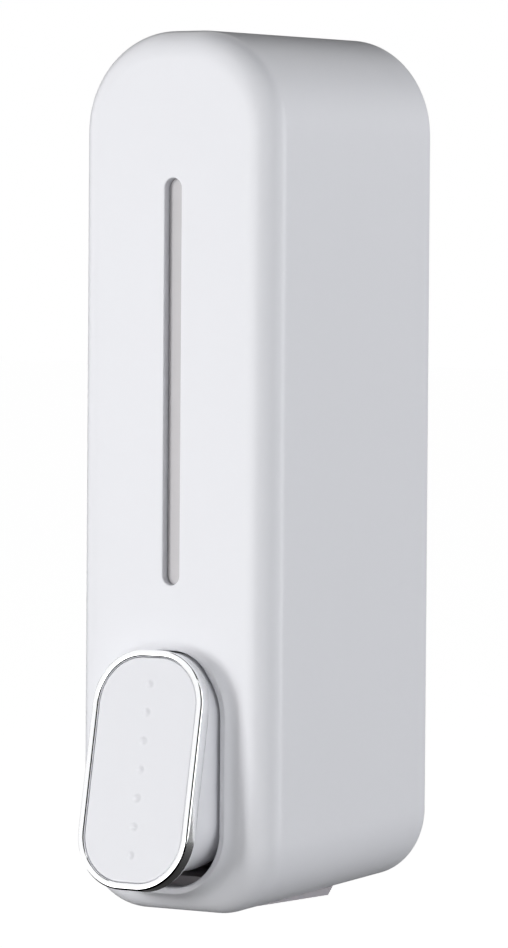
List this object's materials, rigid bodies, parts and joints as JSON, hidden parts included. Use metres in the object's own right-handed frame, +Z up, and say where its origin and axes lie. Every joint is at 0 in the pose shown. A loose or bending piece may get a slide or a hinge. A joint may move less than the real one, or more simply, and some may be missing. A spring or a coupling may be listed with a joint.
{
  "type": "wall mounted soap dispenser",
  "caption": "Slim deep wall dispenser for liquid soap with a level slot, a tilted push button in a bright rim, a refillable bottle and a piston pump behind a tilting cover.",
  "frame": {"origin": "on the wall plane, midway between the two wall screw holes, at the middle of the cover's height and width", "axes": "+Z up, the front with the button faces -Y, +Y points into the wall, +X is to the right seen from the front"},
  "size_m": [0.056, 0.0896, 0.2105],
  "materials": {
    "white_plastic": "satin gloss white ABS",
    "inner_plastic": "matt pale grey ABS",
    "pump_plastic": "matt white acetal",
    "window_plastic": "frosted translucent polycarbonate",
    "bright_rim": "polished chrome plate on ABS",
    "steel": "stainless steel",
    "rubber": "black nitrile rubber",
    "silicone": "clear soft silicone",
    "bottle_plastic": "translucent polypropylene",
    "cap_plastic": "white polypropylene"
  },
  "bodies": {
    "base": {"wall_plate": "inner_plastic", "carrier": "inner_plastic", "carrier_screws": "steel", "pump_body": "pump_plastic", "pump_cap": "inner_plastic", "pump_screws": "steel", "inlet_seat": "pump_plastic", "inlet_gasket": "rubber", "outlet_valve": "silicone", "nozzle": "pump_plastic", "nozzle_oring": "rubber", "pump_spring": "steel", "latch_spring": "steel"},
    "cover": {"cover": "white_plastic", "window": "window_plastic", "hinge_pin": "steel", "pin_clips": "steel"},
    "button": {"button_lever": "white_plastic", "button_rim": "bright_rim", "button_face": "white_plastic"},
    "piston": {"piston": "pump_plastic", "piston_seal": "rubber"},
    "inlet_ball": {"inlet_ball": "steel"},
    "bottle": {"reservoir": "bottle_plastic"},
    "cap": {"fill_cap": "cap_plastic", "cap_gasket": "rubber"},
    "latch": {"latch": "inner_plastic"}
  },
  "joints": [
    {"name": "cover_tilt", "type": "hinge", "parent": "base", "child": "cover", "pos_m": [0, -0.0052, 0.0975], "axis": [1, 0, 0], "range_deg": [-14, 0]},
    {"name": "button_push", "type": "hinge", "parent": "cover", "child": "button", "pos_m": [0, -0.0655, -0.047], "axis": [1, 0, 0], "range_deg": [0, 9], "stiffness_Nm_per_rad": 0.8, "springref_deg": -14.32},
    {"name": "piston_slide", "type": "slide", "parent": "base", "child": "piston", "axis": [0, 1, 0], "range_m": [0, 0.0058], "deforming": ["pump_spring"]},
    {"name": "ball_lift", "type": "slide", "parent": "base", "child": "inlet_ball", "axis": [0, 0, 1], "range_m": [0, 0.0013]},
    {"name": "bottle_lift", "type": "slide", "parent": "base", "child": "bottle", "axis": [0, 0, 1], "range_m": [0, 0.005]},
    {"name": "cap_turn", "type": "hinge", "parent": "bottle", "child": "cap", "pos_m": [0, -0.037, 0.0885], "axis": [0, 0, 1], "range_deg": [0, 90]},
    {"name": "latch_slide", "type": "slide", "parent": "base", "child": "latch", "axis": [0, 0, 1], "range_m": [0, 0.004], "stiffness_N_per_m": 300, "springref_m": -0.002, "deforming": ["latch_spring"]}
  ],
  "couplings": [
    {"joint": "piston_slide", "follows": "button_push", "m_per_rad": 0.036}
  ]
}
